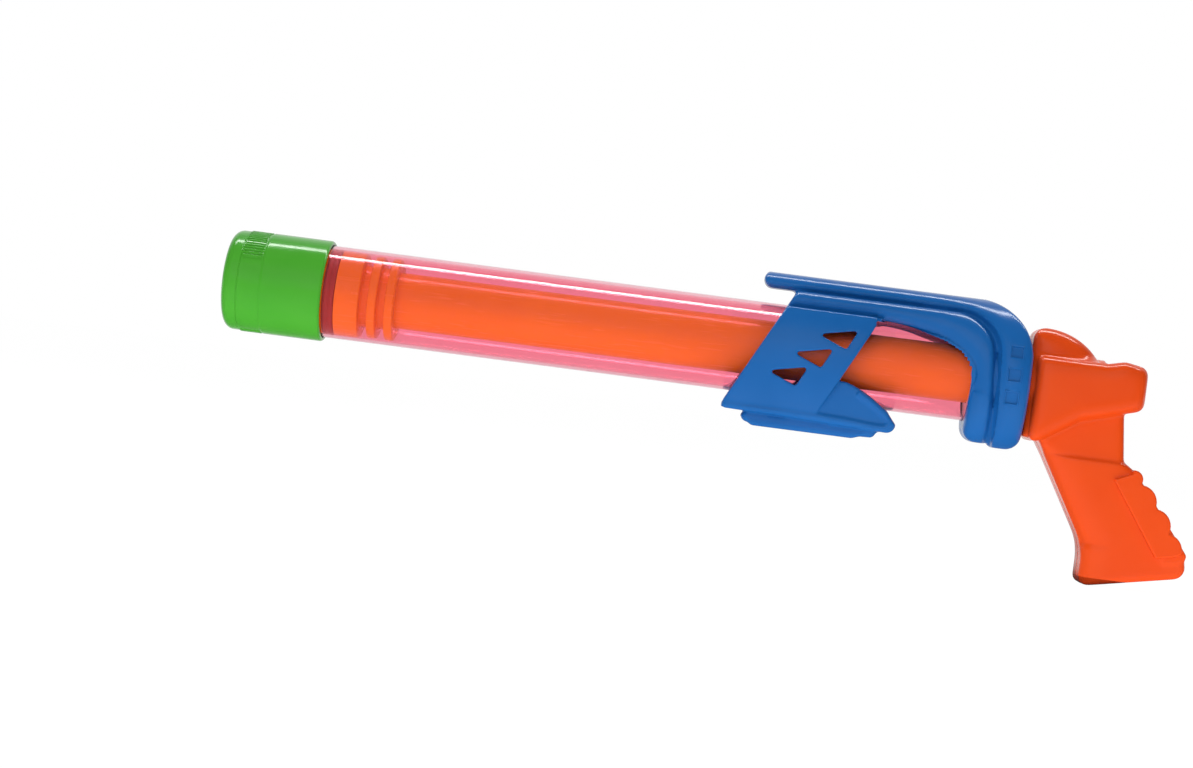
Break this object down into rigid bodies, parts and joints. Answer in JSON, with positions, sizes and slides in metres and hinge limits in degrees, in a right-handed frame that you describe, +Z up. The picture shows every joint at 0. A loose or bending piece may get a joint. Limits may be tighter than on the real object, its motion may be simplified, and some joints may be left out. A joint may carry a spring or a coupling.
{
  "type": "water squirter",
  "caption": "Hand-pumped water squirter: clear barrel tube with a screw cap, a clamped fore-grip and a sliding plunger with a pistol handle.",
  "frame": {"origin": "centre of the outlet on the cap's front face, on the barrel's axis", "axes": "+X along the barrel from the outlet to the handle, +Z up, so that the handle's grip points to -Z"},
  "size_m": [0.4892, 0.06, 0.1344],
  "materials": {
    "green_plastic": "glossy moulded plastic",
    "seal_rubber": "dark red rubber",
    "clear_pink_plastic": "clear pink plastic, polished",
    "orange_plastic": "glossy moulded plastic",
    "handle_plastic": "glossy moulded plastic",
    "bush_plastic": "plain moulded plastic",
    "blue_plastic": "glossy moulded plastic",
    "pin_steel": "plain steel",
    "screw_steel": "zinc-plated steel"
  },
  "bodies": {
    "barrel": {"barrel_tube": "clear_pink_plastic", "rear_bush": "bush_plastic", "grip_left": "blue_plastic", "grip_right": "blue_plastic", "grip_screws": "screw_steel"},
    "cap_washer": {"cap_gasket": "seal_rubber"},
    "cap": {"nozzle_cap": "green_plastic"},
    "seal": {"piston_seal": "seal_rubber"},
    "plunger": {"piston_head": "orange_plastic", "plunger_tube": "orange_plastic", "plunger_pin": "pin_steel", "handle_left": "handle_plastic", "handle_right": "handle_plastic", "handle_screws": "screw_steel"}
  },
  "joints": [
    {"name": "plunger_slide", "type": "slide", "parent": "barrel", "child": "seal", "axis": [1, 0, 0], "range_m": [0, 0.28]},
    {"name": "plunger_swivel", "type": "hinge", "parent": "seal", "child": "plunger", "pos_m": [0.0527, 0, 0], "axis": [1, 0, 0], "continuous": true},
    {"name": "cap_turn", "type": "hinge", "parent": "cap_washer", "child": "cap", "pos_m": [0, 0, 0], "axis": [-1, 0, 0], "range_deg": [0, 1080]},
    {"name": "cap_travel", "type": "slide", "parent": "barrel", "child": "cap_washer", "axis": [-1, 0, 0], "range_m": [0, 0.009]}
  ],
  "couplings": [
    {"joint": "cap_travel", "follows": "cap_turn", "m_per_rad": 0.00047746}
  ]
}
